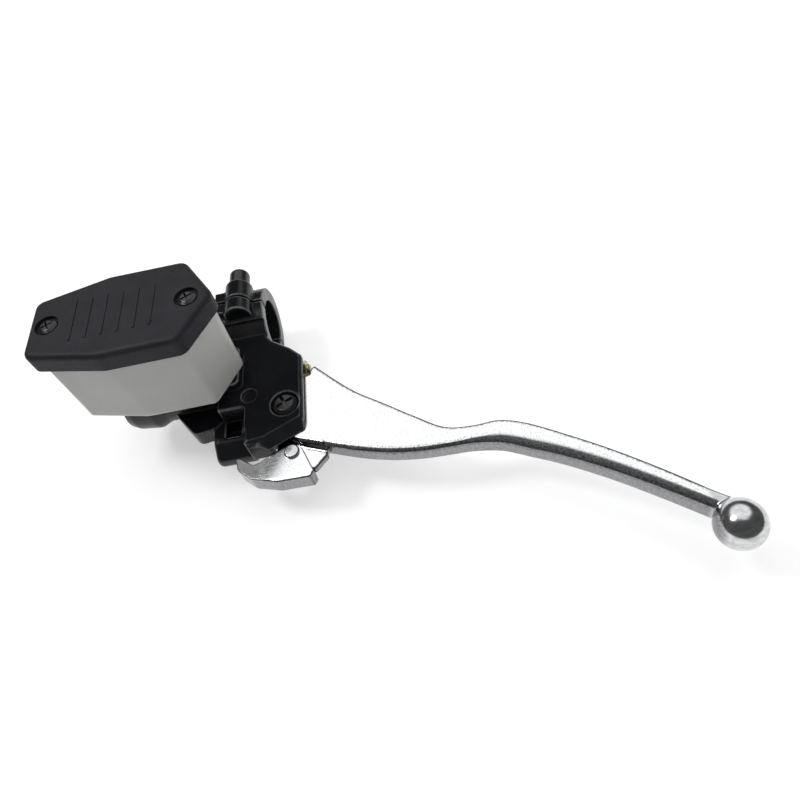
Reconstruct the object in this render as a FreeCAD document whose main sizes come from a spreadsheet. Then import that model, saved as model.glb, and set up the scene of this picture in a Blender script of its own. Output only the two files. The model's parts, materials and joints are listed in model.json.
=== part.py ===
import FreeCAD, Part
import math
import os
from FreeCAD import Placement, Rotation, Vector

# Front brake master cylinder for a 22.2 mm handlebar, in millimetres.
# Origin: centre of the handlebar clamp's bore. +X runs along the handlebar, outboard.
# +Y points back to the rider, +Z up, square to the reservoir's cap and to the lever's plane.

DRIVING = {
    # handlebar clamp
    "bar_radius": 11.1, "ring_radius": 16.9, "ring_width": 22.8, "split_gap": 1.0,
    "lug_radius": 6.1, "bolt_height": 16.6, "lug_front": 7.6, "lug_rear": 9.8, "lug_x": 0.8,
    "band_front": 8.6, "arm_radius": 15.4,
    # cylinder and its bore
    "barrel_radius": 10.8, "barrel_left": 54.5, "bore_offset": 31.0, "bore_radius": 6.35,
    "bore_left": 42.0, "mouth_right": 13.0, "mouth_radius": 7.4, "mouth_depth": 4.0,
    "outlet_radius": 5.0, "outlet_depth": 8.0,
    # ears that hold the lever
    "ear_top": 8.5, "ear_gap": 4.5, "ear_right": 26.5, "ear_bevel": 1.2,
    "pivot_x": 19.0, "pivot_offset": 53.0, "pivot_radius": 4.0, "lip_height": 2.8,
    # fluid reservoir and its cap
    "seat_height": 12.5, "rim_height": 47.3, "cap_top": 56.0, "cap_wall": 1.3,
    "reservoir_top": 50.5, "reservoir_wall": 2.0, "floor_thickness": 2.5,
    "cap_left": 68.3, "cap_left_half": 14.3, "cap_bulge": 37.8, "cap_bulge_half": 21.2,
    "cap_shoulder": 6.6, "cap_apex": 6.0, "screw_left": 60.6, "screw_right": 4.3,
    "feed_x": 9.5, "feed_radius": 5.0,
    "rib_first": 50.0, "rib_step": 6.4, "rib_length": 21.0, "rib_width": 1.1, "rib_height": 0.3,
    # piston
    "piston_radius": 6.3, "piston_waist": 4.4, "piston_tail": 4.0,
    # lever
    "belly_bottom": 7.2, "belly_inset": 1.3, "belly_from": 80.0,
    "lever_half": 4.15, "root_edge": 1.8, "grip_edge": 2.8, "hub_radius": 9.0, "bush_radius": 5.5,
    "ball_radius": 9.0, "ball_x": 174.5, "ball_offset": 133.2, "ball_height": 0.9,
    # parking latch
    "rivet_x": 20.0, "rivet_offset": 73.0, "rivet_radius": 2.0,
    "latch_top": 2.0, "latch_bottom": 6.0, "tongue_top": 0.4, "tongue_bottom": 3.6,
    "fork_gap": 0.3, "fork_front": 82.4, "tongue_radius": 7.8,
    # general clearances
    "running_gap": 0.03, "thread_gap": 0.05,
}

# The lever's blade, root to ball: place along X, rear edge and front edge along Y.
BLADE = [
    (31.0, -32.3, -72.4),
    (46.0, -48.2, -78.4),
    (59.0, -58.3, -82.2),
    (71.0, -67.5, -84.1),
    (82.0, -75.1, -84.6),
    (93.0, -76.9, -84.8),
    (103.0, -76.9, -86.4),
    (113.0, -80.4, -91.0),
    (125.0, -87.6, -97.2),
    (140.0, -97.6, -106.6),
    (155.0, -109.0, -117.4),
    (169.0, -120.6, -128.2),
    (174.5, -124.6, -132.4),
]

doc = FreeCAD.newDocument("brake_master_cylinder")
sizes = doc.addObject("Spreadsheet::Sheet", "sizes")
kept = []


def fill_sheet():
    """Write every driving dimension into the sheet as a plain number with an alias."""
    rows = dict(DRIVING)
    for number, (x, rear, front) in enumerate(BLADE):
        word = "blade_%s_" % chr(ord("a") + number)
        rows.update({word + "x": x, word + "rear": rear, word + "front": front})
    for row, (alias, value) in enumerate(rows.items(), start=1):
        sizes.set("A%d" % row, alias)
        sizes.set("B%d" % row, str(value))
        sizes.setAlias("B%d" % row, alias)
    doc.recompute()


def size(alias):
    return float(sizes.get(alias))


def bind(item, **expressions):
    """Bind properties of an object to expressions over the sheet's aliases."""
    for name, expression in expressions.items():
        item.setExpression(name, expression)
    return item


def towards(base, direction):
    return Placement(Vector(*base), Rotation(Vector(0, 0, 1), Vector(*direction)))


def rod(name, radius, length, base, direction=(0, 0, 1)):
    item = doc.addObject("Part::Cylinder", name)
    bind(item, Radius=radius, Height=length)
    item.Placement = towards(base, direction)
    return item


def taper(name, radius_base, radius_tip, length, base, direction=(0, 0, 1)):
    item = doc.addObject("Part::Cone", name)
    bind(item, Radius1=radius_base, Radius2=radius_tip, Height=length)
    item.Placement = towards(base, direction)
    return item


def block(name, low, high):
    """A box between two corners."""
    item = doc.addObject("Part::Box", name)
    item.Length = high[0] - low[0]
    item.Width = high[1] - low[1]
    item.Height = high[2] - low[2]
    item.Placement = Placement(Vector(*low), Rotation())
    return item


def fuse(name, pieces):
    item = doc.addObject("Part::MultiFuse", name)
    item.Shapes = pieces
    item.Refine = True
    return item


def cut(name, base, tools):
    """Take one or more tools out of a base, and check that they did cut."""
    tool = tools[0] if len(tools) == 1 else fuse(name + "_tools", tools)
    item = doc.addObject("Part::Cut", name)
    item.Base = base
    item.Tool = tool
    item.Refine = True
    doc.recompute()
    if item.Shape.Volume > base.Shape.Volume - 1e-3:
        raise RuntimeError(name + " cut nothing")
    return item


def keep(item, label):
    """Give a finished sub-part the label that names its file."""
    doc.recompute()
    item.Label = label
    kept.append(item)
    return item


def rounded_outline(corners):
    """Lines and arcs through corners given as (x, y) or (x, y, corner radius)."""
    points = [Vector(c[0], c[1], 0) for c in corners]
    radii = [c[2] if len(c) > 2 else 0.0 for c in corners]
    count = len(points)
    entries = []
    exits = []
    arcs = []
    for i, point in enumerate(points):
        before = (points[i - 1] - point).normalize()
        after = (points[(i + 1) % count] - point).normalize()
        if radii[i] <= 0:
            entries.append(point)
            exits.append(point)
            arcs.append(None)
            continue
        half_angle = before.getAngle(after) / 2
        reach = radii[i] / math.tan(half_angle)
        entry = point + before * reach
        leave = point + after * reach
        bisector = (before + after).normalize()
        middle = point + bisector * (radii[i] / math.sin(half_angle) - radii[i])
        entries.append(entry)
        exits.append(leave)
        arcs.append(Part.Arc(entry, middle, leave))
    edges = []
    for i in range(count):
        if arcs[i]:
            edges.append(arcs[i])
        if exits[i].distanceToPoint(entries[(i + 1) % count]) > 1e-6:
            edges.append(Part.LineSegment(exits[i], entries[(i + 1) % count]))
    return edges


def mirrored_outline(half, axis_y):
    """Close an outline that is symmetrical about a line along X, from its upper half."""
    upper = [(x, axis_y + y) + tuple(rest) for x, y, *rest in half]
    lower = [(x, axis_y - y) + tuple(rest) for x, y, *rest in reversed(half) if y > 0]
    return upper + lower


def new_sketch(body, name, edges, plane="XY_Plane", offset=0.0):
    """A sketch on one of the body's own origin planes, moved along its normal."""
    sketch = body.newObject("Sketcher::SketchObject", name)
    origin = [f for f in body.Origin.OriginFeatures if f.Role == plane][0]
    sketch.AttachmentSupport = [(origin, "")]
    sketch.MapMode = "FlatFace"
    sketch.AttachmentOffset = Placement(Vector(0, 0, offset), Rotation())
    sketch.addGeometry(edges, False)
    return sketch


def pad(name, edges, low, height, plane="XY_Plane"):
    """A body padded from an outline; low is a number and height an expression."""
    body = doc.addObject("PartDesign::Body", name)
    sketch = new_sketch(body, name + "_outline", edges, plane, low)
    feature = body.newObject("PartDesign::Pad", name + "_pad")
    feature.Profile = sketch
    bind(feature, Length=height)
    sketch.Visibility = False
    doc.recompute()
    return body


def revolve_about_x(name, profile, axis_y, axis_z=0.0):
    """Revolve a profile of (x, radius) corners about a line along X."""
    body = doc.addObject("PartDesign::Body", name)
    corners = [(c[0], c[1]) + tuple(c[2:]) for c in profile]
    sketch = new_sketch(body, name + "_profile", rounded_outline(corners))
    feature = body.newObject("PartDesign::Revolution", name + "_turn")
    feature.Profile = sketch
    feature.ReferenceAxis = (sketch, ["H_Axis"])
    feature.Angle = 360
    body.Placement = Placement(Vector(0, axis_y, axis_z), Rotation())
    doc.recompute()
    return body


def revolve_about_z(name, profile, centre):
    """Revolve a profile of (radius, z) corners about an upright line."""
    body = doc.addObject("PartDesign::Body", name)
    sketch = new_sketch(body, name + "_profile", rounded_outline(profile), "XZ_Plane")
    feature = body.newObject("PartDesign::Revolution", name + "_turn")
    feature.Profile = sketch
    feature.ReferenceAxis = (sketch, ["V_Axis"])
    feature.Angle = 360
    body.Placement = Placement(Vector(*centre), Rotation())
    doc.recompute()
    return body


def soften(body, name, radius, choose, kind="Fillet"):
    """Fillet or chamfer the edges of a body's tip that a test picks out."""
    tip = body.Tip
    picked = ["Edge%d" % (i + 1) for i, e in enumerate(tip.Shape.Edges) if choose(e)]
    feature = body.newObject("PartDesign::" + kind, name)
    feature.Base = (tip, picked)
    bind(feature, **{"Radius" if kind == "Fillet" else "Size": radius})
    doc.recompute()
    return feature


def flat_at(level):
    """True for an edge that lies at one height."""
    return lambda e: (abs(e.BoundBox.ZMin - level) < 1e-4 and abs(e.BoundBox.ZMax - level) < 1e-4)


def cross_recess(name, reach, width, depth, top, centre):
    """The cross of a cross-head screw, opening upward at a height."""
    x, y = centre
    arms = []
    for turn in (25, 115):
        arm = block(name + "_arm_%d" % turn, (-reach, -width / 2, 0), (reach, width / 2, depth))
        arm.Placement = Placement(Vector(x, y, top - depth), Rotation(Vector(0, 0, 1), turn)) * \
            Placement(Vector(-reach, -width / 2, 0), Rotation())
        arms.append(arm)
    return arms


def hexagon(across_flats):
    corner = across_flats / math.sqrt(3)
    return [(corner * math.cos(math.radians(60 * k)), corner * math.sin(math.radians(60 * k)))
            for k in range(6)]


def hex_nut(name, across_flats, height, hole, base, direction):
    """A hexagon nut with bevelled corners, bored along its axis."""
    prism = pad(name + "_prism", rounded_outline(hexagon(across_flats)), 0, str(height))
    corner = across_flats / math.sqrt(3)
    flat = across_flats / 2
    bevel = (corner - flat) * 0.6
    turned = revolve_about_z(name + "_turned", [
        (0, 0), (flat, 0), (corner, bevel), (corner, height - bevel), (flat, height), (0, height),
    ], (0, 0, 0))
    both = doc.addObject("Part::Common", name + "_bevelled")
    both.Base = prism
    both.Tool = turned
    nut = cut(name, both, [rod(name + "_hole", hole, str(height + 2), (0, 0, -1))])
    nut.Placement = towards(base, direction)
    return nut


# ---------------------------------------------------------------- body casting

def ring_half(name, rear):
    """Half of the handlebar clamp's ring, front or rear of the split, with its two bolt lugs."""
    gap = size("split_gap") / 2
    half_width = size("ring_width") / 2
    lug = size("lug_radius")
    middle = size("lug_x")
    sign = 1 if rear else -1
    far = 60
    band = rod(name + "_ring", "sizes.ring_radius", "sizes.ring_width", (-half_width, 0, 0), (1, 0, 0))
    if not rear:
        arm = rod(name + "_arm", "sizes.arm_radius", "sizes.ring_width", (-half_width, 0, 0), (1, 0, 0))
        near = block(name + "_near", (-far, -size("band_front"), -far), (far, far, far))
        short = doc.addObject("Part::Common", name + "_short")
        short.Base = band
        short.Tool = near
        band = fuse(name + "_band", [arm, short])
    pieces = [band]
    length = "sizes.lug_rear" if rear else "sizes.lug_front"
    for side, height in (("upper", size("bolt_height")), ("lower", -size("bolt_height"))):
        pieces.append(rod(name + "_lug_" + side, "sizes.lug_radius", length,
                          (middle, 0, height), (0, sign, 0)))
        pieces.append(block(name + "_root_" + side,
                            (middle - lug, min(0, sign * 7), min(height, 0)),
                            (middle + lug, max(0, sign * 7), max(height, 0))))
        flank_top = (height + 3.0) if height > 0 else height - 3.0
        pieces.append(block(name + "_flank_" + side,
                            (-9.2, min(0, sign * 6), min(flank_top, 0)),
                            (-3.0, max(0, sign * 6), max(flank_top, 0))))
    whole = fuse(name + "_whole", pieces)
    low = gap if rear else -far
    high = far if rear else -gap
    side_box = block(name + "_side", (-far, low, -far), (far, high, far))
    half = doc.addObject("Part::Common", name + "_half")
    half.Base = whole
    half.Tool = side_box
    doc.recompute()
    return half


def upper_ear_outline():
    right = size("ear_right")
    return rounded_outline([
        (-10.0, -9.0), (-10.0, -50.8), (1.6, -50.8), (1.6, -69.6, 1.6), (10.4, -68.6, 3.0),
        (right, -61.3, 2.5), (right, -28.2, 2.5), (21.4, -22.9, 4.0), (13.3, -16.8, 3.0),
        (9.6, -11.0), (9.6, -9.0),
    ])


def lower_ear_outline():
    right = size("ear_right")
    return rounded_outline([
        (-10.0, -9.0), (-10.0, -56.0), (1.6, -62.0), (10.4, -64.0, 3.0), (right, -60.0, 4.0),
        (right, -46.0, 4.0), (18.0, -36.0, 3.0), (13.4, -20.4, 3.0), (9.6, -11.0), (9.6, -9.0),
    ])


def build_body_casting():
    axis_y = -size("bore_offset")
    top = size("ear_top")
    gap = size("ear_gap")
    barrel_left = -size("barrel_left")
    barrel = size("barrel_radius")
    pivot = (size("pivot_x"), -size("pivot_offset"))

    upper_ear = pad("upper_ear", upper_ear_outline(), gap, "sizes.ear_top - sizes.ear_gap")
    soften(upper_ear, "upper_ear_bevel", "sizes.ear_bevel",
           lambda e: flat_at(top)(e) and e.CenterOfMass.x > 1.5 and e.CenterOfMass.y < -12, "Chamfer")
    lower_ear = pad("lower_ear", lower_ear_outline(), -top, "sizes.ear_top - sizes.ear_gap")
    web = pad("web", rounded_outline([
        (-10.0, -9.0), (-10.0, -50.8), (1.6, -50.8), (1.6, -62.5), (8.0, -62.5, 1.0),
        (8.0, -44.0, 2.0), (13.0, -41.5), (13.0, -19.0), (9.6, -11.0), (9.6, -9.0),
    ]), -top, "2 * sizes.ear_top")
    lip_solid = pad("ear_lip_solid", rounded_outline([
        (6.0, -60.0), (6.4, -69.4), (12.6, -73.0, 3.0), (26.3, -66.8, 2.6), (26.3, -56.0),
    ]), gap, "sizes.lip_height")
    # The lip slopes forward and down from the ear's front edge, along that edge's direction.
    lip_slant = block("ear_lip_slant", (0, 0, 0), (60, 14, 10))
    along_edge = Placement(Vector(10.4, -68.7, gap + size("lip_height")), Rotation(Vector(0, 0, 1), 24.4))
    tilt = Placement(Vector(), Rotation(Vector(1, 0, 0), 39.5))
    lip_slant.Placement = along_edge * tilt * Placement(Vector(-20, -9, 0), Rotation())
    lip = cut("ear_lip", lip_solid, [lip_slant])
    front_wall = pad("front_wall", rounded_outline([
        (1.6, -60.0), (1.6, -69.4, 1.0), (10.4, -68.6, 2.0), (11.8, -67.4, 1.2), (11.4, -66.2, 0.5),
        (5.0, -66.0, 3.0), (5.0, -60.0),
    ]), -5.0, "sizes.ear_top + 4")
    barrel_body = revolve_about_x("barrel", [
        (barrel_left, 0), (barrel_left, barrel - 0.6, 0.5), (-51.0, barrel + 1.1, 3.0),
        (-42.0, 12.9, 2.0), (-37.0, barrel, 3.0), (0.0, barrel, 1.5), (0.0, 0),
    ], axis_y)
    pedestal = pad("pedestal", rounded_outline([
        (-50.0, axis_y - 9.0, 3.0), (0.4, axis_y - 10.5, 3.0), (0.4, axis_y + 10.5, 3.0),
        (-50.0, axis_y + 9.0, 3.0),
    ]), 2.0, "sizes.seat_height - 2")
    switch_block = pad("switch_block", rounded_outline([
        (-46.0, -0.5), (-57.5, -0.5, 0.8), (-60.4, -1.2, 1.0), (-66.4, -6.0, 3.0),
        (-66.6, -11.0, 3.0), (-61.0, -13.0, 2.0), (-46.0, -13.0),
    ]), -15.2, "15.2 + 1.7", "YZ_Plane")
    soften(switch_block, "switch_block_edge", "2.2",
           lambda e: abs(e.BoundBox.XMax + 15.2) < 1e-4 and e.CenterOfMass.y < -60)
    gusset = pad("gusset", rounded_outline([
        (-34.0, -36.0), (-31.0, -44.0, 2.0), (-23.0, -54.6, 3.5), (-14.0, -53.0), (-9.0, -48.0),
        (-4.0, -40.0),
    ]), -8.4, "8.4")
    clamp_front = ring_half("casting_clamp", rear=False)

    solid = fuse("casting_solid", [
        upper_ear, lip, lower_ear, web, front_wall, barrel_body, pedestal, switch_block, gusset,
        clamp_front,
    ])
    slot_height = 2 * gap
    holes = [
        rod("bar_hole", "sizes.bar_radius", "sizes.ring_width + 20", (-21.4, 0, 0), (1, 0, 0)),
        rod("bore", "sizes.bore_radius", "sizes.bore_left + sizes.mouth_right + 1",
            (-size("bore_left"), axis_y, 0), (1, 0, 0)),
        taper("bore_end", "sizes.bore_radius", "2.2", "3", (-size("bore_left"), axis_y, 0), (-1, 0, 0)),
        rod("outlet", "sizes.outlet_radius", "sizes.outlet_depth + 1",
            (barrel_left - 1, axis_y, 0), (1, 0, 0)),
        rod("outlet_passage", "2.2", "4", (barrel_left + size("outlet_depth"), axis_y, 0), (1, 0, 0)),
        rod("mouth", "sizes.mouth_radius", "sizes.mouth_depth + 5",
            (size("mouth_right") - size("mouth_depth"), axis_y, 0), (1, 0, 0)),
        rod("circlip_groove", "sizes.mouth_radius + 0.4", "1.2", (10.6, axis_y, 0), (1, 0, 0)),
        rod("inlet_port", "1.5", "12", (-4.5, axis_y, 2), (0, 0, 1)),
        rod("compensating_port", "0.5", "12", (-15.4, axis_y, 2), (0, 0, 1)),
        rod("feed_well", "6.4", "4", (-size("feed_x"), axis_y, 9.4), (0, 0, 1)),
        rod("pivot_hole_upper", "sizes.pivot_radius + sizes.thread_gap", "8",
            pivot + (2,), (0, 0, 1)),
        rod("pivot_hole_lower", "3.05", "8", pivot + (-10,), (0, 0, 1)),
        rod("pivot_counterbore", "5.9", "4", pivot + (6.2,), (0, 0, 1)),
        rod("dimple", "3.2", "2", (3.7, -45.6, top - 1.4), (0, 0, 1)),
        block("switch_pocket", (-9.4, -58.4, -7.0), (-2.6, -51.2, 3.0)),
    ]
    for side, height in (("upper", size("bolt_height")), ("lower", -size("bolt_height"))):
        holes.append(rod("bolt_hole_" + side, "3 + sizes.thread_gap", "7.9",
                         (size("lug_x"), 0.9, height), (0, -1, 0)))
    for side, place in (("left", -42.0), ("right", -22.5)):
        holes.append(rod("seat_hole_" + side, "2 + sizes.thread_gap", "6", (place, axis_y, 8.4)))
    groove = revolve_about_z("seal_groove", [(7.0, 0), (9.4, 0), (9.4, 1.5), (7.0, 1.5)],
                             (-size("feed_x"), axis_y, size("seat_height") - 1.0))
    holes.append(groove)
    slot_right = block("lever_slot", (13.0, -80.0, -gap), (40.0, -10.0, -gap + slot_height))
    holes.append(slot_right)
    keep(cut("casting", solid, holes), "body_casting")


# ------------------------------------------------------------- handlebar clamp

def build_clamp():
    half = ring_half("holder", rear=True)
    holes = [rod("holder_bar_hole", "sizes.bar_radius", "sizes.ring_width + 4",
                 (-size("ring_width") / 2 - 2, 0, 0), (1, 0, 0))]
    for side, height in (("upper", size("bolt_height")), ("lower", -size("bolt_height"))):
        holes.append(rod("holder_hole_" + side, "3.3", "16", (size("lug_x"), -2, height), (0, 1, 0)))
        holes.append(rod("holder_seat_" + side, "5.8", "8",
                         (size("lug_x"), size("lug_rear"), height), (0, 1, 0)))
    keep(cut("holder", half, holes), "bar_clamp_holder")

    rear = size("lug_rear")
    for side, height in (("upper", size("bolt_height")), ("lower", -size("bolt_height"))):
        washer = revolve_about_x("washer_" + side, [
            (0, 3.3), (0, 5.4, 0.3), (1.0, 5.4, 0.3), (1.0, 3.3)], 0)
        washer.Placement = Placement(Vector(size("lug_x"), rear, height), Rotation(Vector(0, 0, 1), 90))
        keep(washer, "clamp_washer_" + side)
        bolt = revolve_about_x("clamp_bolt_solid_" + side, [
            (-16.2, 0), (-16.2, 2.5), (-15.7, 3.0), (1.0, 3.0), (1.0, 4.6, 0.4), (8.6, 4.6, 2.4),
            (9.4, 2.8, 0.5), (9.4, 0)], 0)
        socket = pad("clamp_socket_" + side, rounded_outline(hexagon(5.0)), 5.2, "6", "YZ_Plane")
        screw = cut("clamp_bolt_cut_" + side, bolt, [socket])
        screw.Placement = Placement(Vector(size("lug_x"), rear, height), Rotation(Vector(0, 0, 1), 90))
        keep(screw, "clamp_bolt_" + side)


# ------------------------------------------------------- reservoir and its cap

def reservoir_half_outline(side_inset, end_inset, corner, left_extra):
    """Upper half of the six-sided outline seen from above, drawn in by insets."""
    left = -size("cap_left") + end_inset + left_extra
    bulge = size("cap_bulge_half") - side_inset
    slope = end_inset * 0.5
    return [
        (left, size("cap_left_half") - side_inset * 0.8, corner),
        (-size("cap_bulge"), bulge, 12.0),
        (-size("cap_shoulder") - slope, bulge - 0.2, corner),
        (size("cap_apex") - end_inset, 0, corner + 1.5),
    ]


def reservoir_outline(side_inset, end_inset, corner, left_extra=0.0):
    half = reservoir_half_outline(side_inset, end_inset, corner, left_extra)
    return rounded_outline(mirrored_outline(half, -size("bore_offset")))


def loft_between(name, bottom, low, top, high, subtract_from=None):
    """A loft between two outlines at two heights, added as a body or taken from one."""
    body = subtract_from or doc.addObject("PartDesign::Body", name)
    first = new_sketch(body, name + "_bottom", bottom, "XY_Plane", low)
    second = new_sketch(body, name + "_top", top, "XY_Plane", high)
    kind = "PartDesign::SubtractiveLoft" if subtract_from else "PartDesign::AdditiveLoft"
    feature = body.newObject(kind, name + "_loft")
    feature.Profile = first
    feature.Sections = [second]
    feature.Ruled = True
    doc.recompute()
    return body


def build_reservoir():
    axis_y = -size("bore_offset")
    seat = size("seat_height")
    top = size("reservoir_top")
    floor = size("floor_thickness")
    wall = size("reservoir_wall")
    shell = loft_between("reservoir_shell", reservoir_outline(2.6, 3.2, 3.0), seat,
                         reservoir_outline(1.7, 1.8, 3.6, 1.6), top)
    loft_between("reservoir_inside", reservoir_outline(2.6 + wall, 3.2 + wall, 1.6), seat + floor,
                 reservoir_outline(1.7 + wall, 1.8 + wall, 2.0, 1.6), top + 0.01, shell)
    posts = [rod("post_" + side, "3.7", "sizes.reservoir_top - sizes.seat_height",
                 (place, axis_y, seat))
             for side, place in (("left", -size("screw_left")), ("right", -size("screw_right")))]
    holes = [rod("post_hole_" + side, "1.9 + sizes.thread_gap", "16", (place, axis_y, top - 15))
             for side, place in (("left", -size("screw_left")), ("right", -size("screw_right")))]
    holes.append(rod("feed_hole", "sizes.feed_radius", "8", (-size("feed_x"), axis_y, seat - 2)))
    for side, place in (("left", -42.0), ("right", -22.5)):
        holes.append(rod("floor_hole_" + side, "2.2", "8", (place, axis_y, seat - 2)))
    keep(cut("reservoir_cut", fuse("reservoir_solid", [shell] + posts), holes), "reservoir")

    seal = revolve_about_z("seal", [(7.2, 0, 0.3), (9.2, 0, 0.3), (9.2, 1.0, 0.3), (7.2, 1.0, 0.3)],
                           (-size("feed_x"), axis_y, seat - 1.0))
    keep(seal, "reservoir_seal")
    for side, place in (("left", -42.0), ("right", -22.5)):
        screw = revolve_about_z("floor_screw_" + side, [
            (0, -6.4), (1.6, -6.4), (2.0, -6.0), (2.0, 0), (3.6, 0), (3.6, 1.0, 0.4), (2.2, 2.0, 0.6),
            (0, 2.2)], (place, axis_y, seat + floor))
        keep(cut("floor_screw_cut_" + side, screw, cross_recess(
            "floor_cross_" + side, 2.0, 0.7, 1.3, seat + floor + 2.3, (place, axis_y))),
            "reservoir_screw_" + side)


def build_cap():
    axis_y = -size("bore_offset")
    rim = size("rim_height")
    top = size("cap_top")
    ceiling = 52.9
    wall = size("cap_wall")
    cap = pad("cap_shell", reservoir_outline(0, 0, 4.5), rim, "sizes.cap_top - sizes.rim_height")
    soften(cap, "cap_edge", "2.4", flat_at(top))
    cap_hollow = pad("cap_hollow", reservoir_outline(wall, wall, 3.6), rim - 1, str(ceiling - rim + 1))
    half_length = size("rib_length") / 2
    half_width = size("rib_width") / 2
    ribs = []
    for number in range(6):
        x = number * size("rib_step") - size("rib_first")
        ribs.append(pad("cap_rib_%d" % number, rounded_outline([
            (x - half_width, axis_y - half_length, 0.5), (x + half_width, axis_y - half_length, 0.5),
            (x + half_width, axis_y + half_length, 0.5), (x - half_width, axis_y + half_length, 0.5),
        ]), top - 0.5, "0.5 + sizes.rib_height"))
    tools = [cap_hollow]
    for side, place in (("left", -size("screw_left")), ("right", -size("screw_right"))):
        tools.append(rod("cap_recess_" + side, "4.9", "4", (place, axis_y, top - 1.5)))
        tools.append(rod("cap_hole_" + side, "2.2", "12", (place, axis_y, ceiling - 4)))
    keep(cut("cap_cut", fuse("cap_ribbed", [cap] + ribs), tools), "reservoir_cap")

    for side, place in (("left", -size("screw_left")), ("right", -size("screw_right"))):
        head = top - 1.5
        screw = revolve_about_z("cap_screw_solid_" + side, [
            (0, -14.6), (1.5, -14.6), (1.9, -14.2), (1.9, 0), (3.9, 0), (3.9, 0.9, 0.5),
            (2.4, 1.7, 0.8), (0, 1.8)], (place, axis_y, head))
        keep(cut("cap_screw_cut_" + side, screw, cross_recess(
            "cap_cross_" + side, 2.3, 0.8, 1.4, head + 1.9, (place, axis_y))), "cap_screw_" + side)

    rim_top = size("reservoir_top")
    flange_top = rim_top + 1.2
    plate = pad("plate_solid", reservoir_outline(2.0, 2.0, 3.0), flange_top, str(ceiling - flange_top))
    window = pad("plate_window", rounded_outline([
        (-50, axis_y - 9, 3), (-14, axis_y - 9, 3), (-14, axis_y + 9, 3), (-50, axis_y + 9, 3)]),
        rim_top, "6")
    holes = [rod("plate_hole_" + side, "2.3", "6", (place, axis_y, rim_top))
             for side, place in (("left", -size("screw_left")), ("right", -size("screw_right")))]
    keep(cut("plate_cut", plate, [window] + holes), "diaphragm_plate")

    flange = pad("flange_solid", reservoir_outline(2.0, 2.0, 3.0), rim_top, "1.2")
    cup = pad("bellows_outside", rounded_outline([
        (-54.5, axis_y - 14, 4), (-10.5, axis_y - 14, 4), (-10.5, axis_y + 14, 4),
        (-54.5, axis_y + 14, 4)]), rim_top - 9, "10")
    hollow = pad("bellows_inside", rounded_outline([
        (-53.3, axis_y - 12.8, 3), (-11.7, axis_y - 12.8, 3), (-11.7, axis_y + 12.8, 3),
        (-53.3, axis_y + 12.8, 3)]), rim_top - 7.8, "12")
    holes = [rod("flange_hole_" + side, "2.3", "6", (place, axis_y, rim_top - 2))
             for side, place in (("left", -size("screw_left")), ("right", -size("screw_right")))]
    keep(cut("diaphragm_cut", fuse("diaphragm_solid", [flange, cup]), [hollow] + holes), "diaphragm")


# ------------------------------------------------------------- inside the bore

def coil(name, start, direction, mean_radius, wire_radius, pitch, turns):
    """A helical spring of round wire, from a start point along a direction."""
    helix = Part.makeLongHelix(pitch, pitch * turns, mean_radius)
    section = Part.Wire([Part.makeCircle(wire_radius, Vector(mean_radius, 0, 0), Vector(0, 1, 0))])
    item = doc.addObject("Part::Feature", name)
    item.Shape = Part.Wire(helix).makePipeShell([section], True, False)
    item.Placement = towards(start, direction)
    return item


def build_piston_parts():
    axis_y = -size("bore_offset")
    full = size("piston_radius")
    waist = size("piston_waist")
    tail = size("piston_tail")
    piston = revolve_about_x("piston_solid", [
        (-14.0, 0), (-14.0, 2.4), (-9.6, 2.4), (-9.6, full, 0.3), (-6.6, full, 0.3), (-6.6, waist),
        (4.0, waist), (4.0, full, 0.3), (8.6, full, 0.4), (8.6, tail), (19.0, tail, 0.6), (19.0, 1.6),
        (18.2, 0),
    ], axis_y)
    keep(piston, "piston")
    keep(revolve_about_x("primary_cup_solid", [
        (-13.2, 2.45), (-9.7, 2.45), (-9.7, 6.1, 0.3), (-13.6, 6.32, 0.2), (-13.6, 5.2), (-11.2, 4.4),
        (-11.2, 3.4), (-13.2, 3.0)], axis_y), "primary_cup")
    keep(revolve_about_x("secondary_cup_solid", [
        (0.6, 4.45), (3.9, 4.45), (3.9, 6.1, 0.3), (0.2, 6.32, 0.2), (0.2, 5.6), (2.4, 5.2),
        (2.4, 4.9), (0.6, 4.8)], axis_y), "secondary_cup")
    keep(coil("spring_coil", (-41.2, axis_y, 0), (1, 0, 0), 4.9, 0.55, 3.3, 8), "return_spring")
    keep(revolve_about_x("stop_washer_solid", [
        (9.05, 4.4), (10.35, 4.4), (10.35, 7.3, 0.3), (9.05, 7.3, 0.3)], axis_y), "stop_washer")
    ring = revolve_about_x("circlip_solid", [
        (10.7, 5.6, 0.2), (11.7, 5.6, 0.2), (11.7, 7.75), (10.7, 7.75)], axis_y)
    mouth = block("circlip_gap", (9, axis_y - 2.2, -9), (13, axis_y + 2.2, -3))
    keep(cut("circlip_cut", ring, [mouth]), "circlip")
    keep(revolve_about_x("boot_solid", [
        (11.9, 4.6), (11.9, 7.2, 0.4), (13.0, 7.2, 0.4), (13.6, 6.3, 0.3), (14.6, 6.6, 0.4),
        (15.4, 5.4, 0.3), (16.2, 5.6, 0.4), (17.0, 4.9, 0.3), (17.0, 4.15), (15.6, 4.15), (14.4, 5.0),
        (13.2, 5.6), (12.8, 4.6)], axis_y), "dust_boot")


# ----------------------------------------------------------------------- pivot

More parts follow.
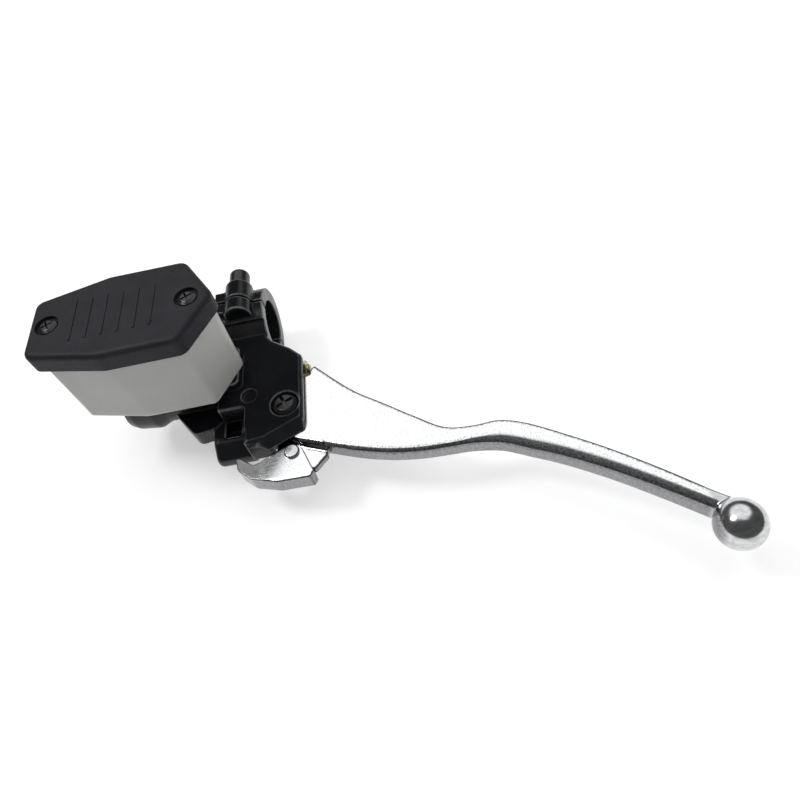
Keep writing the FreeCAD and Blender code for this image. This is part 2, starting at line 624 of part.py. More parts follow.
def build_pivot():
    pivot = (size("pivot_x"), -size("pivot_offset"))
    shank = size("pivot_radius")
    bolt = revolve_about_z("pivot_bolt_solid", [
        (0, -14.0), (2.6, -14.0), (3.0, -13.6), (3.0, -4.45), (shank, -4.45), (shank, 6.2), (5.3, 6.2),
        (5.3, 7.6, 0.6), (3.8, 9.0, 1.2), (0, 9.3)], pivot + (0,))
    keep(cut("pivot_bolt_cut", bolt, cross_recess("pivot_cross", 3.7, 1.5, 2.2, 9.4, pivot)),
         "pivot_bolt")
    washer = revolve_about_z("pivot_washer_solid", [
        (3.1, -9.5, 0.2), (6.2, -9.5, 0.3), (6.2, -8.5, 0.3), (3.1, -8.5, 0.2)], pivot + (0,))
    keep(washer, "pivot_washer")
    keep(hex_nut("pivot_nut_solid", 10.0, 4.2, "3.05", pivot + (-13.7,), (0, 0, 1)), "pivot_nut")
    half = size("lever_half")
    bush = revolve_about_z("bush_solid", [
        (shank + size("running_gap"), -half), (size("bush_radius"), -half),
        (size("bush_radius"), half), (shank + size("running_gap"), half)], pivot + (0,))
    keep(bush, "pivot_bush")


# ----------------------------------------------------------------------- lever

def spline_through(points):
    curve = Part.BSplineCurve()
    curve.interpolate(points)
    return curve


def lever_outline(pivot):
    """Root, heel and blade seen from above, in one closed outline."""
    rear = [Vector(x, y, 0) for x, y, _ in BLADE]
    front = [Vector(24.0, -69.6, 0)] + [Vector(x, y, 0) for x, _, y in BLADE]
    hub = size("hub_radius")
    root_corners = [
        (14.5, -61.0), (pivot[0] - hub, pivot[1]), (13.5, -44.5), (20.4, -38.0), (20.4, -26.4),
        (24.6, -26.4), (24.6, -37.2), (28.7, -37.2), (28.9, -35.0),
    ]
    points = [front[0]] + [Vector(x, y, 0) for x, y in root_corners] + [rear[0]]
    lines = [Part.LineSegment(a, b) for a, b in zip(points, points[1:])]
    tip = Part.LineSegment(rear[-1], front[-1])
    return [spline_through(rear), tip, spline_through(front[::-1])] + lines


def belly_outline():
    """The grip's thicker underside seen from above, drawn in from the blade's two edges."""
    inset = size("belly_inset")
    stations = [row for row in BLADE if row[0] > size("belly_from")]
    rear = [Vector(x, y - inset, 0) for x, y, _ in stations]
    front = [Vector(x, y + inset, 0) for x, _, y in stations]
    start = Part.LineSegment(front[0], rear[0])
    tip = Part.LineSegment(rear[-1], front[-1])
    return [spline_through(rear), tip, spline_through(front[::-1]), start]


def build_belly():
    """The underside of the grip, which starts thin and reaches its full depth along a slope."""
    belly = pad("belly_solid", belly_outline(), -size("belly_bottom"), "sizes.belly_bottom - 2")
    slope = block("belly_slope", (0, -40, -20), (60, 60, 0))
    slope_start = Placement(Vector(size("belly_from"), -80, -3.6), Rotation(Vector(0, 1, 0), 9))
    slope.Placement = slope_start * Placement(Vector(-6, -40, -20), Rotation())
    return cut("belly", belly, [slope])


def round_blade(body):
    """Round the blade's long edges, from a tight radius at the root to a full one at the grip."""
    rounded = doc.addObject("Part::Fillet", "lever_rounded")
    rounded.Base = body
    root = size("root_edge")
    grip = size("grip_edge")
    picked = []
    for number, edge in enumerate(body.Shape.Edges, start=1):
        box = edge.BoundBox
        if box.ZLength > 1e-4:
            continue
        if box.XLength > 100:
            front = box.YMin < -125
            picked.append((number, grip, root) if front else (number, root, grip))
    rounded.Edges = picked
    doc.recompute()
    return rounded


def build_lever():
    half = size("lever_half")
    pivot = (size("pivot_x"), -size("pivot_offset"))
    axis_y = -size("bore_offset")
    rivet = (size("rivet_x"), -size("rivet_offset"))
    flat = pad("lever_flat", lever_outline(pivot), -half, "2 * sizes.lever_half")
    blade = round_blade(flat)
    hub = rod("lever_hub", "sizes.hub_radius", "2 * sizes.lever_half", pivot + (-half,))
    tongue = pad("latch_tongue", rounded_outline([
        (14.0, -60.0), (rivet[0] - size("tongue_radius") + 1.2, -66.0, 3),
        (rivet[0] - size("tongue_radius"), rivet[1] - 3.0, 4), (15.5, -79.3, 4), (24.0, -79.8, 2),
        (28.6, -81.4, 1.2), (36.9, -72.8, 2.0), (40.0, -66.0), (30.0, -58.0),
    ]), -size("tongue_bottom"), "sizes.tongue_bottom - sizes.tongue_top")
    ball = doc.addObject("Part::Sphere", "lever_ball")
    bind(ball, Radius="sizes.ball_radius")
    ball_centre = Vector(size("ball_x"), -size("ball_offset"), size("ball_height"))
    ball.Placement = Placement(ball_centre, Rotation())
    solid = fuse("lever_solid", [blade, build_belly(), hub, tongue, ball])
    tools = [
        rod("bush_hole", "sizes.bush_radius", "20", pivot + (-10,)),
        rod("rivet_hole", "sizes.rivet_radius + sizes.running_gap", "12", rivet + (-8,)),
        rod("adjuster_hole", "2.5", "12", (18, axis_y, 0), (1, 0, 0)),
    ]
    keep(cut("lever_cut", solid, tools), "brake_lever")

    screw = revolve_about_x("adjuster_solid", [
        (19.3, 0), (19.45, 1.2), (20.2, 2.2, 0.6), (20.8, 2.5), (28.0, 2.5), (28.4, 2.1), (28.4, 0),
    ], axis_y)
    slot = block("adjuster_slot", (27.4, axis_y - 3, -0.4), (31, axis_y + 3, 0.4))
    keep(cut("adjuster_cut", screw, [slot]), "adjuster_screw")
    keep(hex_nut("locknut_solid", 7.4, 2.5, "2.5", (24.7, axis_y, 0), (1, 0, 0)), "adjuster_locknut")


# --------------------------------------------------------------- parking latch

def build_latch():
    top = size("latch_top")
    bottom = -size("latch_bottom")
    rivet = (size("rivet_x"), -size("rivet_offset"))
    latch = pad("latch_solid", rounded_outline([
        (-3.6, -71.6, 0.5), (-1.6, -71.7, 0.6), (3.8, -75.8, 0.8), (6.9, -75.0, 1.2), (12.0, -71.6, 3.0),
        (18.6, -69.3, 2.5), (23.6, -70.3, 1.5), (28.7, -83.2, 1.0), (27.2, -85.5, 1.0), (13.4, -85.3, 6.0),
        (3.2, -82.3, 5.0), (-2.6, -77.2, 2.5),
    ]), bottom, "sizes.latch_top + sizes.latch_bottom")
    # The front leans out towards the bottom, so the upper edge is drawn back.
    slant = block("latch_slant", (0, 0, 0), (45, 12, 24))
    slant.Placement = Placement(Vector(-5, -83.7, top), Rotation(Vector(1, 0, 0), 102))
    latch = cut("latch_front", latch, [slant])
    gap = size("fork_gap")
    low = -size("tongue_bottom") - gap
    high = -size("tongue_top") + gap
    fork = [
        rod("fork_round", "sizes.tongue_radius + 0.4", str(high - low), rivet + (low,)),
        block("fork_open", (rivet[0], -size("fork_front"), low), (40.0, -60.0, high)),
        block("fork_rear", (rivet[0] - 8.2, rivet[1], low), (40.0, -60.0, high)),
        rod("latch_rivet_hole", "sizes.rivet_radius + sizes.running_gap", "12", rivet + (-8,)),
    ]
    keep(cut("latch_cut", latch, fork), "parking_latch")
    rivet_body = revolve_about_z("rivet_solid", [
        (0, -9.7), (2.4, -9.7, 0.4), (3.2, -8.9, 0.2), (3.2, -8.6), (2.0, -8.6), (2.0, 2.05),
        (3.3, 2.05), (3.3, 2.5, 0.3), (2.6, 3.1, 0.4), (0, 3.2)], rivet + (0,))
    keep(rivet_body, "latch_rivet")
    keep(coil("latch_coil", rivet + (-8.2,), (0, 0, 1), 2.75, 0.35, 0.8, 1.9), "latch_spring")


def check_and_export():
    """Stop on any failed object or shape, then write each sub-part's file."""
    doc.recompute()
    for item in doc.Objects:
        if "Invalid" in item.State or "Error" in item.State:
            raise RuntimeError("failed object: " + item.Name)
    os.makedirs("parts", exist_ok=True)
    for item in kept:
        shape = item.Shape
        if shape.isNull() or not shape.isValid():
            raise RuntimeError("bad shape: " + item.Label)
        shape.exportStep("parts/%s.step" % item.Label)
        print("%-22s solids %d volume %9.1f" % (item.Label, len(shape.Solids), shape.Volume))


fill_sheet()
build_body_casting()
build_clamp()
build_reservoir()
build_cap()
build_piston_parts()
build_pivot()
build_lever()
build_latch()
check_and_export()
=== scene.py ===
import json
import math

import bmesh
import bpy
from mathutils import Matrix, Vector


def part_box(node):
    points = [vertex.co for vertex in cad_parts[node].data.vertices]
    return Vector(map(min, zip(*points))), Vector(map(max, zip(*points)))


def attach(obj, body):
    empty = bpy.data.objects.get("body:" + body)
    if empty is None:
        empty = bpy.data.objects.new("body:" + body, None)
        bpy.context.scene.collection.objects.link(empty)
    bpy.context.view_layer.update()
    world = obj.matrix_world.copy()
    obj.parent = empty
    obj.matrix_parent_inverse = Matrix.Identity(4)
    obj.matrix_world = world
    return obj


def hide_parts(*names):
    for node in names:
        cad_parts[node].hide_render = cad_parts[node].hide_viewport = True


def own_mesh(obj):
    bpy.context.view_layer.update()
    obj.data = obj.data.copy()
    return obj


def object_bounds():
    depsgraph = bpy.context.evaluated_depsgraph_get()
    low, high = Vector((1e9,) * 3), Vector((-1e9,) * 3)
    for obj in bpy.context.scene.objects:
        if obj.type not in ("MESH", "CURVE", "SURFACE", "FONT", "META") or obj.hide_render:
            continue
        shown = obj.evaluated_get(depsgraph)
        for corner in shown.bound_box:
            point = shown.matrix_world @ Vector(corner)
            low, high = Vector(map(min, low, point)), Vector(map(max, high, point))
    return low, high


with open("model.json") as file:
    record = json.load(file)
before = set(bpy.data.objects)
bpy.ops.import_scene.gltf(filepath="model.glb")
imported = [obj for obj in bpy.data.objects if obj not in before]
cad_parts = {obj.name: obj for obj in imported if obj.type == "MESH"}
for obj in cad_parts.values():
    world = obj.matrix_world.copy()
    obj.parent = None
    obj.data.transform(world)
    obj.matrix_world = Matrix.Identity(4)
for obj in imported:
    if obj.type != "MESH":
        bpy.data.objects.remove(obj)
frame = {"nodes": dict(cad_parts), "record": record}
cad_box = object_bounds()
nodes = frame["nodes"]
MM = 0.001


# ------------------------------------------------------------------- materials

# The clamp's right end is machined bare: where it is, how deep that goes and how far forward.
RING_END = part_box("bar_clamp_holder")[1].x
MACHINED_DEPTH = 0.35 * MM
MACHINED_FRONT = -17.2 * MM

# The lever's finish changes where the ball starts, over a short fade.
BALL_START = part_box("brake_lever")[1].x - 17 * MM
BALL_FADE = 2 * MM


class Finish:
    """A node material built round one Principled shader, with a few short ways to add detail."""

    def __init__(self, name, metallic=0.0):
        self.material = bpy.data.materials.new(name)
        self.material.use_nodes = True
        self.tree = self.material.node_tree
        self.shader = self.tree.nodes["Principled BSDF"]
        self.put("Metallic", metallic)
        self.place = self.tree.nodes.new("ShaderNodeTexCoord").outputs["Object"]

    def put(self, socket, value):
        """Give one of the shader's inputs a fixed value."""
        self.shader.inputs[socket].default_value = value

    def join(self, output, target):
        self.tree.links.new(output, target)

    def drive(self, socket, output):
        """Let an output set one of the shader's inputs."""
        self.join(output, self.shader.inputs[socket])

    def split(self, vector):
        """The X, Y and Z of a vector output, by name."""
        node = self.tree.nodes.new("ShaderNodeSeparateXYZ")
        self.join(vector, node.inputs["Vector"])
        return node.outputs

    def surface(self, measure):
        """A measure of the surface itself, such as its normal or how pointed it is."""
        return self.tree.nodes.new("ShaderNodeNewGeometry").outputs[measure]

    def noise(self, grain_mm, detail, stretch=(1, 1, 1)):
        """Noise whose grains are about grain_mm wide, and longer along an axis that is stretched."""
        mapping = self.tree.nodes.new("ShaderNodeMapping")
        mapping.inputs["Scale"].default_value = [1 / s for s in stretch]
        self.join(self.place, mapping.inputs["Vector"])
        texture = self.tree.nodes.new("ShaderNodeTexNoise")
        texture.inputs["Scale"].default_value = 1 / (grain_mm * MM)
        texture.inputs["Detail"].default_value = detail
        self.join(mapping.outputs["Vector"], texture.inputs["Vector"])
        return texture.outputs["Fac"]

    def spread(self, source, low=0.0, high=1.0, start=0.3, end=0.7):
        """Map a factor that runs from start to end onto low to high."""
        node = self.tree.nodes.new("ShaderNodeMapRange")
        node.inputs["From Min"].default_value = start
        node.inputs["From Max"].default_value = end
        node.inputs["To Min"].default_value = low
        node.inputs["To Max"].default_value = high
        self.join(source, node.inputs["Value"])
        return node.outputs["Result"]

    def blend(self, factor, first, second):
        """Go from the first colour to the second by a factor. Each is a plain colour or an output."""
        node = self.tree.nodes.new("ShaderNodeMix")
        node.data_type = "RGBA"
        for socket, colour in (("A", first), ("B", second)):
            if isinstance(colour, tuple):
                node.inputs[socket].default_value = (*colour, 1.0)
            else:
                self.join(colour, node.inputs[socket])
        self.join(factor, node.inputs["Factor"])
        return node.outputs["Result"]

    def math(self, kind, first, second=0):
        """Work out one number from two, each a plain number or an output."""
        node = self.tree.nodes.new("ShaderNodeMath")
        node.operation = kind
        for socket, value in zip(node.inputs, (first, second)):
            if isinstance(value, (int, float)):
                socket.default_value = value
            else:
                self.join(value, socket)
        return node.outputs["Value"]

    def edges(self, start, end):
        """A factor that rises on convex edges."""
        return self.spread(self.surface("Pointiness"), start=start, end=end)

    def bump(self, height, strength, depth_mm):
        node = self.tree.nodes.new("ShaderNodeBump")
        node.inputs["Strength"].default_value = strength
        node.inputs["Distance"].default_value = depth_mm * MM
        self.join(height, node.inputs["Height"])
        self.drive("Normal", node.outputs["Normal"])


def black_paint():
    """Satin black paint over a die casting, lighter on its edges as worn paint and as painted highlight,
    and bare on the clamp's machined end.
    """
    finish = Finish("black_paint")
    normal = finish.split(finish.surface("Normal"))
    place = finish.split(finish.place)
    ring_end = finish.math("GREATER_THAN", place["X"], RING_END - MACHINED_DEPTH)
    near_bar = finish.math("GREATER_THAN", place["Y"], MACHINED_FRONT)
    faces_out = finish.spread(normal["X"], start=0.75, end=0.95)
    bare = finish.math("MULTIPLY", finish.math("MULTIPLY", ring_end, near_bar), faces_out)
    level = finish.math("ABSOLUTE", normal["Z"])
    finish.drive("Specular IOR Level", finish.spread(level, 0.4, 0.02, start=0.86, end=0.985))
    cloud = finish.spread(finish.noise(14, 4))
    mottle = finish.blend(cloud, (0.004, 0.0043, 0.005), (0.008, 0.0083, 0.0095))
    patchy = finish.spread(finish.noise(7, 4), low=0.25)
    # Convex edges turn light grey: partly paint worn thin, partly a painted highlight along the edges.
    wear_and_highlight = finish.math("MULTIPLY", finish.edges(0.516, 0.57), patchy)
    rubbed_and_highlit = finish.blend(wear_and_highlight, mottle, (0.26, 0.26, 0.27))
    finish.drive("Base Color", finish.blend(bare, rubbed_and_highlit, (0.045, 0.045, 0.048)))
    finish.drive("Roughness", finish.spread(finish.noise(5, 5), 0.24, 0.36))
    finish.bump(finish.noise(0.9, 2), strength=0.22, depth_mm=0.12)
    return finish.material


def milky_plastic():
    """Translucent white plastic that lets light in and blurs what is behind it."""
    finish = Finish("milky_plastic")
    finish.put("Subsurface Weight", 0.75)
    finish.put("Subsurface Radius", (1.0, 0.98, 0.92))
    finish.put("Subsurface Scale", 4 * MM)
    finish.put("IOR", 1.5)
    cloud = finish.spread(finish.noise(22, 3))
    finish.drive("Base Color", finish.blend(cloud, (0.355, 0.357, 0.348), (0.40, 0.402, 0.39)))
    finish.drive("Roughness", finish.spread(finish.noise(6, 4), 0.28, 0.4))
    finish.bump(finish.noise(3.0, 2), strength=0.1, depth_mm=0.08)
    return finish.material


def charcoal_plastic():
    """Moulded plastic with a fine even grain."""
    finish = Finish("charcoal_plastic")
    finish.put("Specular IOR Level", 0.2)
    tone = finish.spread(finish.noise(9, 4))
    finish.drive("Base Color", finish.blend(tone, (0.0105, 0.010, 0.013), (0.016, 0.0155, 0.0195)))
    finish.drive("Roughness", finish.spread(finish.noise(0.8, 3), 0.46, 0.64))
    finish.bump(finish.noise(0.35, 2), strength=0.25, depth_mm=0.05)
    return finish.material


def polished_aluminium():
    """Cast aluminium with painted shade: bright on level faces, darker and grainy down the sides by their
    slant, and a painted dark reflection along the edges.

    The ball has its own duller polish.
    """
    finish = Finish("polished_aluminium", metallic=1.0)
    flatness = finish.math("ABSOLUTE", finish.split(finish.surface("Normal"))["Z"])
    grain = finish.spread(finish.noise(0.7, 4), -0.2, 0.2)
    # Painted shade: the colour goes from bright on level faces to a darker grainy grey down the slanted
    # sides.
    painted_slant_shade = finish.spread(finish.math("ADD", flatness, grain), start=0.55, end=0.95)
    grainy_side_shade = finish.blend(finish.spread(finish.noise(0.9, 4)), (0.20, 0.20, 0.205), (0.35, 0.35, 0.36))
    skin = finish.blend(painted_slant_shade, grainy_side_shade, (0.93, 0.93, 0.94))
    knob = finish.spread(finish.split(finish.place)["X"], start=BALL_START, end=BALL_START + BALL_FADE)
    streaks = finish.spread(finish.noise(1.6, 5, stretch=(2, 1, 1)), start=0.38, end=0.62)
    ball_skin = finish.blend(streaks, (0.52, 0.52, 0.525), (0.68, 0.68, 0.685))
    bright = finish.blend(knob, skin, ball_skin)
    # Painted shade: a dark line along the blade's edges standing for the dark surroundings reflected
    # there; the ball is left out.
    ragged = finish.spread(finish.noise(0.8, 3), -0.006, 0.006)
    edge = finish.math("ADD", finish.surface("Pointiness"), ragged)
    edge_wear_and_painted_shade = finish.math("SUBTRACT", finish.spread(edge, start=0.505, end=0.518), knob)
    finish.drive("Base Color", finish.blend(edge_wear_and_painted_shade, bright, (0.12, 0.12, 0.125)))
    finish.drive("Roughness", finish.spread(finish.noise(0.5, 4, stretch=(6, 1, 1)), 0.12, 0.22))
    finish.bump(finish.noise(2.5, 3), strength=0.06, depth_mm=0.06)
    return finish.material


def turned_metal(name, first, second, roughness):
    """Plated, oiled or plain turned metal, with fine tool marks and an uneven colour."""
    finish = Finish(name, metallic=1.0)
    finish.drive("Base Color", finish.blend(finish.spread(finish.noise(2.2, 4)), first, second))
    marks = finish.noise(0.25, 3)
    finish.drive("Roughness", finish.spread(marks, roughness - 0.08, roughness + 0.1))
    finish.bump(marks, strength=0.15, depth_mm=0.03)
    return finish.material


def black_steel():
    """Blackened steel, a little lighter on its edges."""
    finish = Finish("black_steel")
    finish.put("Specular IOR Level", 0.45)
    edge_wear_and_painted_shade = finish.edges(0.53, 0.6)
    finish.drive("Base Color", finish.blend(edge_wear_and_painted_shade, (0.009, 0.009, 0.010), (0.05, 0.05, 0.052)))
    finish.drive("Roughness", finish.spread(finish.noise(1.2, 3), 0.18, 0.32))
    finish.bump(finish.noise(0.5, 2), strength=0.15, depth_mm=0.04)
    return finish.material


def rubber():
    """Matt black rubber with a little dust on it."""
    finish = Finish("black_rubber")
    finish.put("Roughness", 0.7)
    dust = finish.spread(finish.noise(1.5, 4))
    finish.drive("Base Color", finish.blend(dust, (0.016, 0.016, 0.016), (0.03, 0.03, 0.03)))
    finish.bump(finish.noise(0.3, 3), strength=0.3, depth_mm=0.04)
    return finish.material


def white_plastic():
    """Plain moulded plastic, nearly white."""
    finish = Finish("white_plastic")
    finish.put("Roughness", 0.45)
    tone = finish.spread(finish.noise(5, 3))
    finish.drive("Base Color", finish.blend(tone, (0.66, 0.66, 0.65), (0.74, 0.74, 0.73)))
    finish.bump(finish.noise(0.4, 2), strength=0.2, depth_mm=0.04)
    return finish.material


def pale_floor():
    """Matt white that also glows a little, so that it stays even under the lamps."""
    finish = Finish("pale_floor")
    finish.put("Roughness", 0.8)
    finish.put("Emission Color", (1.0, 1.0, 1.0, 1.0))
    finish.put("Emission Strength", 0.46)
    tone = finish.spread(finish.noise(60, 3))
    finish.drive("Base Color", finish.blend(tone, (0.57, 0.57, 0.57), (0.59, 0.59, 0.59)))
    return finish.material


FINISHES = {
    "black_painted_alloy": black_paint(),
    "black_steel": black_steel(),
    "milky_plastic": milky_plastic(),
    "white_plastic": white_plastic(),
    "charcoal_plastic": charcoal_plastic(),
    "black_rubber": rubber(),
    "zinc_steel": turned_metal("zinc_steel", (0.50, 0.50, 0.50), (0.66, 0.66, 0.65), 0.3),
    "spring_steel": turned_metal("spring_steel", (0.42, 0.42, 0.43), (0.55, 0.55, 0.56), 0.3),
    "polished_steel": turned_metal("polished_steel", (0.62, 0.62, 0.63), (0.74, 0.74, 0.75), 0.2),
    "yellow_zinc_steel": turned_metal("yellow_zinc_steel", (0.42, 0.38, 0.18), (0.55, 0.52, 0.30), 0.32),
    "anodised_aluminium": turned_metal("anodised_aluminium", (0.55, 0.52, 0.40), (0.66, 0.62, 0.48), 0.35),
    "polished_aluminium": polished_aluminium(),
    "bronze": turned_metal("bronze", (0.50, 0.33, 0.15), (0.62, 0.43, 0.22), 0.35),
}
SLOT_OF = {entry["node"]: entry["material_slot"] for entry in frame["record"]["subparts"]}


def dress(piece, slot):
    """Give a mesh one finish all over."""
    piece.data.materials.clear()
    piece.data.materials.append(FINISHES[slot])


for node_name, node_piece in nodes.items():
    dress(node_piece, SLOT_OF[node_name])


# --------------------------------------------------- pieces that stand for nodes

def added(name, data):
    """A new object in the scene that holds a mesh, a lamp or a lens."""
    item = bpy.data.objects.new(name, data)
    bpy.context.scene.collection.objects.link(item)
    return item


def node_body(node):
    """The body that a CAD node belongs to."""
    groups = frame["record"]["behaviour"]["bodies"]
    return next(body for body, members in groups.items() if node in members)


def stand_in(piece, node):
    """Put a piece in the place of a CAD node: its finish, its body and its slot."""
    dress(piece, SLOT_OF[node])
    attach(piece, node_body(node))
    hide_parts(node)


def melt(mesh, name, node, voxel_mm, passes):
    """A piece whose mesh is rebuilt as one skin with soft edges, as a casting's are."""
    piece = added(name, mesh)
    remesh = piece.modifiers.new("voxels", "REMESH")
    remesh.mode = "VOXEL"
    remesh.voxel_size = voxel_mm * MM
    remesh.use_smooth_shade = True
    smooth = piece.modifiers.new("soften", "SMOOTH")
    smooth.factor = 0.5
    smooth.iterations = passes
    seen = piece.evaluated_get(bpy.context.evaluated_depsgraph_get())
    melted = bpy.data.meshes.new_from_object(seen)
    piece.modifiers.clear()
    piece.data = melted
    stand_in(piece, node)


def soft_part(node):
    """A copy of a CAD node put in the node's place, with a mesh of its own.
    """
    piece = added(node + "_soft", nodes[node].data.copy())
    stand_in(piece, node)
    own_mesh(piece)


# ----------------------------------------------------------------------- lever

# The blade seen from above, root to ball, in millimetres: place along X, rear edge and front edge.
BLADE = [
    (31.0, -32.3, -72.4),
    (46.0, -48.2, -78.4),
    (59.0, -58.3, -82.2),
    (71.0, -67.5, -84.1),
    (82.0, -75.1, -84.6),
    (93.0, -76.9, -84.8),
    (103.0, -76.9, -86.4),
    (113.0, -80.4, -91.0),
    (125.0, -87.6, -97.2),
    (140.0, -97.6, -106.6),
    (155.0, -109.0, -117.4),
    (169.0, -120.6, -128.2),
    (174.5, -124.6, -132.4),
]
ROOT_END = 34.0
BLADE_STEPS = 8
BALL_RADIUS = 9.0

# The blade turns into a rounder grip between these places. There it is deeper below and a little
# narrower at the rear.
GRIP_START = 84.0
GRIP_FULL = 112.0
GRIP_BELLY = 3.0
GRIP_REAR = 0.5

# Each corner across the blade: its height at the root and how much it grows towards the grip, how far
# it reaches across at the root, the share of the width that it reaches across at the grip, and the
# angles where it starts and ends.
FRONT_TOP = (2.2, 1.8, 2.4, 0.76, 180, 90)
REAR_TOP = (1.4, 0.0, 1.4, 0.16, 90, 0)
REAR_BOTTOM = (1.6, 2.4, 1.6, 0.40, 0, -90)
FRONT_BOTTOM = (1.8, 1.4, 1.8, 0.40, -90, -180)
CORNER_STEPS = 7


def curve_between(before, start, end, after, t):
    """A smooth curve through start and end, bent by their neighbours."""
    return 0.5 * (2 * start + (end - before) * t + (2 * before - 5 * start + 4 * end - after) * t * t
                  + (3 * start - before - 3 * end + after) * t ** 3)


def blade_places():
    """Places along the blade as (x, rear y, front y), several between each two stations."""
    places = []
    last = len(BLADE) - 1
    for i in range(last):
        around = [BLADE[max(i - 1, 0)], BLADE[i], BLADE[i + 1], BLADE[min(i + 2, last)]]
        for step in range(BLADE_STEPS):
            t = step / BLADE_STEPS
            places.append(tuple(curve_between(*(p[k] for p in around), t) for k in range(3)))
    return places + [BLADE[last]]


def corner_points(x, edge_y, inward, edge_z, side, height, reach, first, last):
    """A quarter of an ellipse that rounds one corner of the section at x."""
    centre = (edge_y + inward * reach, edge_z - side * height)
    for step in range(CORNER_STEPS + 1):
        angle = math.radians(first + (last - first) * step / CORNER_STEPS)
        yield (x * MM, (centre[0] + reach * math.cos(angle)) * MM,
               (centre[1] + height * math.sin(angle)) * MM)


def blade_section(x, rear, front, half, slant):
    """One closed outline across the blade: tight corners at the root, nearly round at the grip."""
    grip = min(max((x - GRIP_START) / (GRIP_FULL - GRIP_START), 0), 1)
    grip = grip * grip * (3 - 2 * grip)
    rear += GRIP_REAR * grip
    width = rear - front
    bottom = -(half + GRIP_BELLY * grip)
    points = []
    for edge_y, inward, edge_z, side, corner in (
            (front, 1, half, 1, FRONT_TOP),
            (rear, -1, half, 1, REAR_TOP),
            (rear, -1, bottom, -1, REAR_BOTTOM),
            (front, 1, bottom, -1, FRONT_BOTTOM)):
        height, growth, root_reach, grip_share, first, last = corner
        reach = root_reach / slant * (1 - grip) + grip_share * width * grip
        height += growth * grip
        points.extend(corner_points(x, edge_y, inward, edge_z, side, height, reach, first, last))
    return points


def blade_mesh(shape):
    """Loft the blade's outlines into a closed skin."""
    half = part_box("pivot_bush")[1].z / MM
    places = blade_places()
    rings = []
    for i, (x, rear, front) in enumerate(places):
        other = places[i - 1] if i else places[1]
        run = abs(x - other[0])
        rise = abs((rear + front) - (other[1] + other[2])) / 2
        slant = run / math.hypot(run, rise)
        outline = blade_section(x, rear, front, half, slant)
        rings.append([shape.verts.new(point) for point in outline])
    for near, far in zip(rings, rings[1:]):
        for k in range(len(near)):
            after = (k + 1) % len(near)
            shape.faces.new((near[k], near[after], far[after], far[k]))
    shape.faces.new(rings[0][::-1])
    shape.faces.new(rings[-1])


def lever_root(shape):
    """The lever's root from the CAD node, cut off where the blade takes over and closed there."""
    shape.from_mesh(nodes["brake_lever"].data)
    bmesh.ops.remove_doubles(shape, verts=shape.verts[:], dist=1e-6)
    cut = bmesh.ops.bisect_plane(shape, geom=shape.verts[:] + shape.edges[:] + shape.faces[:],
                                 plane_co=(ROOT_END * MM, 0, 0), plane_no=(1, 0, 0), clear_outer=True)
    rim = [item for item in cut["geom_cut"] if isinstance(item, bmesh.types.BMEdge)]
    bmesh.ops.contextual_create(shape, geom=rim)


def lever_mesh():
    """Root, blade and ball as three closed skins that overlap."""
    shape = bmesh.new()
    lever_root(shape)
    blade_mesh(shape)
    low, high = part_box("brake_lever")
    radius = BALL_RADIUS * MM
    centre = Vector((high.x - radius, low.y + radius, high.z - radius))
    bmesh.ops.create_uvsphere(shape, u_segments=64, v_segments=40, radius=radius,
                              matrix=Matrix.Translation(centre))
    bmesh.ops.recalc_face_normals(shape, faces=shape.faces[:])
    mesh = bpy.data.meshes.new("lever")
    shape.to_mesh(mesh)
    shape.free()
    return mesh


# ---------------------------------------------------------------------- pieces

# Cast nodes that only need their edges softened, with the piece's name and its voxels in millimetres.
SOFTENED = [
    ("body_casting", "casting", 0.45),
    ("bar_clamp_holder", "clamp_holder", 0.4),
    ("parking_latch", "latch", 0.25),
]
LEVER_VOXEL = 0.35


def castings():
    coarser = 1.0
    for node, name, voxel_mm in SOFTENED:
        melt(nodes[node].data.copy(), name, node, voxel_mm * coarser, passes=4)
    melt(lever_mesh(), "lever", "brake_lever", LEVER_VOXEL * coarser, passes=5)


castings()
soft_part("return_spring")
soft_part("dust_boot")


# ------------------------------------------------------- floor, light and camera

FLOOR_HALF = 3.0
FLOOR_GAP = 0.5 * MM

# The sky is dim but for a bright round patch, like a wide lamp overhead: the direction of its middle,
# and the angles from there at which it is still full and has faded out.
PATCH_MIDDLE = Vector((0.0, 0.5, 0.866))
PATCH_FULL = math.radians(31)
PATCH_END = math.radians(43)
PATCH_STRENGTH = 1.15
SKY_STRENGTH = 0.09

# The camera's place in millimetres, two directions of its frame, and its lens on a 36 mm sensor.
EYE = Vector((91.9, -230.4, 239.8))
EYE_RIGHT = Vector((0.9789, -0.0985, -0.1790))
EYE_BACK = Vector((0.0884, -0.5855, 0.8059))
LENS = 32.56


def floor():
    """A wide flat sheet just under the object."""
    low = cad_box[0].z - FLOOR_GAP
    half = FLOOR_HALF
    mesh = bpy.data.meshes.new("floor")
    corners = [(-half, -half, low), (half, -half, low), (half, half, low), (-half, half, low)]
    mesh.from_pydata(corners, [], [(0, 1, 2, 3)])
    mesh.materials.append(pale_floor())
    added("floor", mesh)


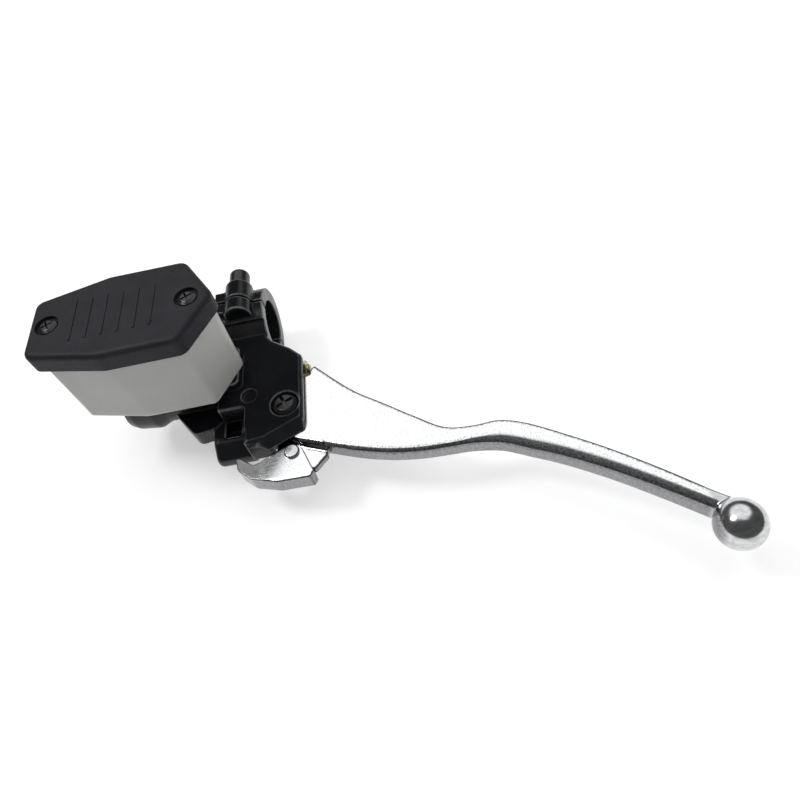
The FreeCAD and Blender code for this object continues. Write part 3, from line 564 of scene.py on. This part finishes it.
def softbox(name, place, size, power, mirrored=False):
    """A square light at a place in metres, facing the object, seen or not seen in shiny surfaces."""
    light = bpy.data.lights.new(name, "AREA")
    light.shape = "SQUARE"
    light.size = size
    light.energy = power
    lamp = added(name, light)
    lamp.location = place
    lamp.rotation_euler = (-Vector(place)).to_track_quat("-Z", "Y").to_euler()
    lamp.visible_glossy = mirrored


def sky():
    """The world's light: dim, with the bright patch faded in by the angle from its middle."""
    world = bpy.data.worlds.new("studio")
    bpy.context.scene.world = world
    world.use_nodes = True
    tree = world.node_tree
    place = tree.nodes.new("ShaderNodeTexCoord")
    towards = tree.nodes.new("ShaderNodeVectorMath")
    towards.operation = "DOT_PRODUCT"
    towards.inputs[1].default_value = PATCH_MIDDLE
    fade = tree.nodes.new("ShaderNodeMapRange")
    fade.interpolation_type = "SMOOTHSTEP"
    fade.inputs["From Min"].default_value = math.cos(PATCH_END)
    fade.inputs["From Max"].default_value = math.cos(PATCH_FULL)
    fade.inputs["To Min"].default_value = SKY_STRENGTH
    fade.inputs["To Max"].default_value = PATCH_STRENGTH
    tree.links.new(place.outputs["Generated"], towards.inputs[0])
    tree.links.new(towards.outputs["Value"], fade.inputs["Value"])
    tree.links.new(fade.outputs["Result"], tree.nodes["Background"].inputs["Strength"])
    tree.nodes["Background"].inputs["Color"].default_value = (0.98, 0.99, 1.0, 1)


def camera():
    """Stand at the eye's place with an upright frame, made square from its two directions."""
    back = EYE_BACK.normalized()
    up = back.cross(EYE_RIGHT).normalized()
    right = up.cross(back)
    view = Matrix((right, up, back)).transposed().to_4x4()
    lens = bpy.data.cameras.new("camera")
    lens.lens = LENS
    lens.sensor_width = 36.0
    lens.clip_start = 0.01
    item = added("camera", lens)
    item.matrix_world = Matrix.Translation(EYE * MM) @ view
    bpy.context.scene.camera = item


floor()
sky()
softbox("key", (-0.5, 0.08, 0.87), size=0.25, power=4, mirrored=True)
softbox("fill", (0.35, -0.12, 0.95), size=1.2, power=5)
softbox("side", (1.0, -0.5, 0.45), size=0.8, power=3.2)
camera()
bpy.context.scene.view_settings.view_transform = "Standard"
